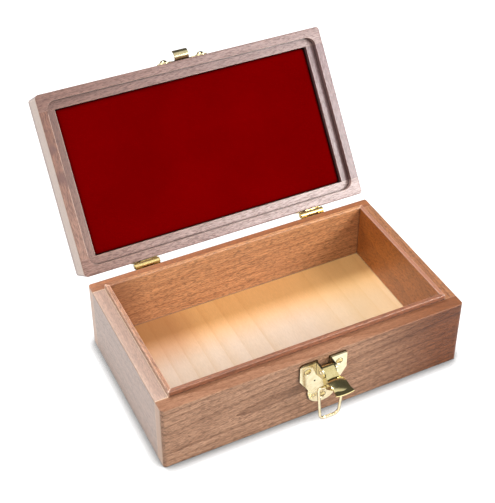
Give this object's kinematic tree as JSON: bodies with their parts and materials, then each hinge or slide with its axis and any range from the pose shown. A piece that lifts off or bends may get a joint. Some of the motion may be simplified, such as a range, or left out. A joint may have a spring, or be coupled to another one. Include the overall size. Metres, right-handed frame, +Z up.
{
  "type": "calibration weight case",
  "caption": "Open walnut case with a proud inner lining, plywood floor, hinged lid with a red velvet pad, and a brass draw catch.",
  "frame": {"origin": "centre of the base's underside, on the surface that the case stands on", "axes": "+Z up, +Y towards the hinges, +X to the right as seen from the front; the lid stands open"},
  "size_m": [0.2286, 0.2714, 0.1649],
  "materials": {
    "walnut": "satin, oiled, straight grain",
    "walnut_liner": "satin, straight grain, crisp edges",
    "walnut_lid": "satin, pale sapwood tone",
    "birch_ply": "sanded plywood face",
    "velvet": "short pile velvet",
    "brass": "polished and lacquered",
    "brass_pins": "drawn wire and turned heads"
  },
  "bodies": {
    "base": {"base_front_board": "walnut", "base_back_board": "walnut", "base_left_board": "walnut", "base_right_board": "walnut", "front_liner": "walnut_liner", "back_liner": "walnut_liner", "left_liner": "walnut_liner", "right_liner": "walnut_liner", "floor_panel": "birch_ply", "left_hinge_base_leaf": "brass", "right_hinge_base_leaf": "brass", "left_hinge_pin": "brass_pins", "right_hinge_pin": "brass_pins", "hinge_base_screws": "brass_pins", "catch_plate": "brass", "catch_screws": "brass_pins", "lever_pin": "brass_pins"},
    "lid": {"lid_front_board": "walnut_lid", "lid_back_board": "walnut_lid", "lid_left_board": "walnut_lid", "lid_right_board": "walnut_lid", "lid_top_panel": "walnut", "pad_board": "birch_ply", "velvet_pad": "velvet", "left_hinge_lid_leaf": "brass", "right_hinge_lid_leaf": "brass", "hinge_lid_screws": "brass_pins", "strike_plate": "brass", "strike_screws": "brass_pins"},
    "lever": {"catch_lever": "brass"},
    "bail": {"bail": "brass_pins"}
  },
  "joints": [
    {"name": "lid_hinge", "type": "hinge", "parent": "base", "child": "lid", "pos_m": [0, 0.0698, 0.05395], "axis": [1, 0, 0], "range_deg": [0, 126.5]},
    {"name": "lever_turn", "type": "hinge", "parent": "base", "child": "lever", "pos_m": [0.0025, -0.0732, 0.045], "axis": [1, 0, 0], "range_deg": [0, 45]},
    {"name": "bail_swing", "type": "hinge", "parent": "lever", "child": "bail", "pos_m": [0.0025, -0.07882, 0.03601], "axis": [1, 0, 0], "range_deg": [-223.9, 0]}
  ],
  "couplings": [
    {"joint": "bail_swing", "follows": "lever_turn", "ratio": -4.9752}
  ]
}
